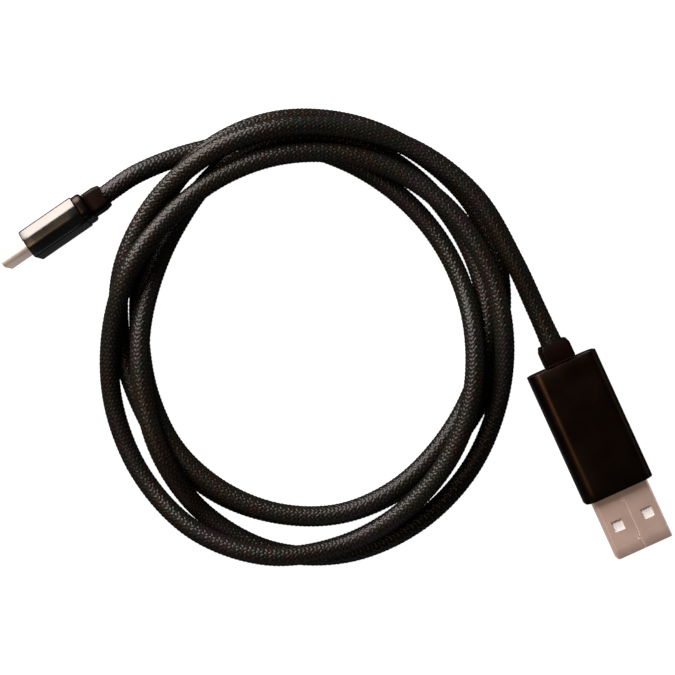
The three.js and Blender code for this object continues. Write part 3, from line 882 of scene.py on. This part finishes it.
# %% Bevels on carried-over pieces
for name, width in (("usb_a_tongue", 0.12), ("usb_a_front_plate", 0.1),
                    ("usb_c_front_plate", 0.1), ("usb_c_insulator", 0.06)):
    bevel = nodes[name].modifiers.new("edge", "BEVEL")
    bevel.width = width * MM
    bevel.segments = 2
    bevel.limit_method = "ANGLE"
    bevel.angle_limit = math.radians(40)

# %% [markdown]
# ## Floor and light
# The floor is plain and nearly white. It glows, as a lit sheet of opal acrylic does, so the
# cable throws almost no shadow. Such a floor would also light the dark undersides of the cord,
# so it is hidden from bounced and reflected rays.

# %% Floor
FLOOR_HALF = 8.0             # metres
FLOOR_Z = -0.0001


def opal_acrylic():
    made, tree, shader = new_material("opal_acrylic_floor", {
        "Roughness": 0.9, "Specular IOR Level": 0.0, "Emission Strength": 1.0})
    place = add(tree, "ShaderNodeTexCoord")
    cloud = add(tree, "ShaderNodeTexNoise", {"Scale": 3.0, "Detail": 1.0},
                {"Vector": place.outputs["Object"]})
    tone = ramp(tree, cloud.outputs["Fac"], [(0.3, "#5a5a5a"), (0.7, "#5e5e5e")])
    tree.links.new(tone, shader.inputs["Base Color"])
    shader.inputs["Emission Color"].default_value = linear("#ffffff")
    return made


corners = [(x * FLOOR_HALF, y * FLOOR_HALF, FLOOR_Z)
           for x, y in ((-1, -1), (1, -1), (1, 1), (-1, 1))]
floor = mesh_piece("floor", corners, [[0, 1, 2, 3]], smooth=False)
give(floor, opal_acrylic())
floor.visible_glossy = False
floor.visible_diffuse = False
print("floor, m:", 2 * FLOOR_HALF)

# %% [markdown]
# One tall soft light stands low at the upper left. It puts a bright line on that side of every
# turn and the broad band on the small housing's flat-cut edge, and leaves the rest dark. A
# small warm light high on the left gives the wide housing its brown line. Two faint ones at
# the right and in front keep those sides from going black. Plated metal also mirrors the pale
# floor and a wall behind it. The floor glow and the edge light stand for these, and shine on
# the two plated shells alone.

# %% Lights
def soft_light(name, azimuth, elevation, distance, size, watts, colour):
    """A rectangular light that faces the middle of the coil from a direction in degrees."""
    data = bpy.data.lights.new(name, "AREA")
    data.shape = "RECTANGLE"
    data.size, data.size_y = size
    data.energy = watts
    data.color = linear(colour)[:3]
    lamp = bpy.data.objects.new(name, data)
    a, e = math.radians(azimuth), math.radians(elevation)
    aim = Vector((0, 7 * MM, 5 * MM))
    towards = Vector((math.cos(e) * math.cos(a), math.cos(e) * math.sin(a), math.sin(e)))
    lamp.location = aim + towards * distance
    lamp.rotation_euler = towards.to_track_quat("Z", "Y").to_euler()
    bpy.context.scene.collection.objects.link(lamp)
    return lamp


soft_light("tall key", 130, 26, 0.45, (0.34, 0.44), 8.0, "#fff6f0")
soft_light("upper fill", 205, 66, 0.45, (0.16, 0.16), 0.34, "#ffd9ae")
soft_light("right glow", 20, 8, 0.45, (0.5, 0.12), 0.08, "#fff8f2")
edge_light = soft_light("edge light", 24, 16, 0.45, (0.4, 0.2), 0.6, "#fff6f0")
soft_light("front glow", 275, 12, 0.45, (0.5, 0.16), 0.2, "#f6f8ff")

floor_glow = soft_light("floor glow", 0, 0, 0.0, (0.3, 0.3), 0.14, "#fff0e8")
floor_glow.location = (0, 7 * MM, 0.01 * MM)
floor_glow.rotation_euler = (math.pi, 0, 0)
floor_glow.visible_camera = False

bright_metal = bpy.data.collections.new("bright metal")
for piece in (a_shell, c_shell):
    bright_metal.objects.link(piece)
for lamp in (floor_glow, edge_light):
    lamp.light_linking.receiver_collection = bright_metal

# %% Background
WORLD_STRENGTH = 0.05
world = bpy.data.worlds.new("studio")
world.use_nodes = True
world.node_tree.nodes["Background"].inputs["Color"].default_value = linear("#f4f4f6")
world.node_tree.nodes["Background"].inputs["Strength"].default_value = WORLD_STRENGTH
bpy.context.scene.world = world
bpy.context.scene.view_settings.view_transform = "Standard"
print("background strength:", WORLD_STRENGTH)
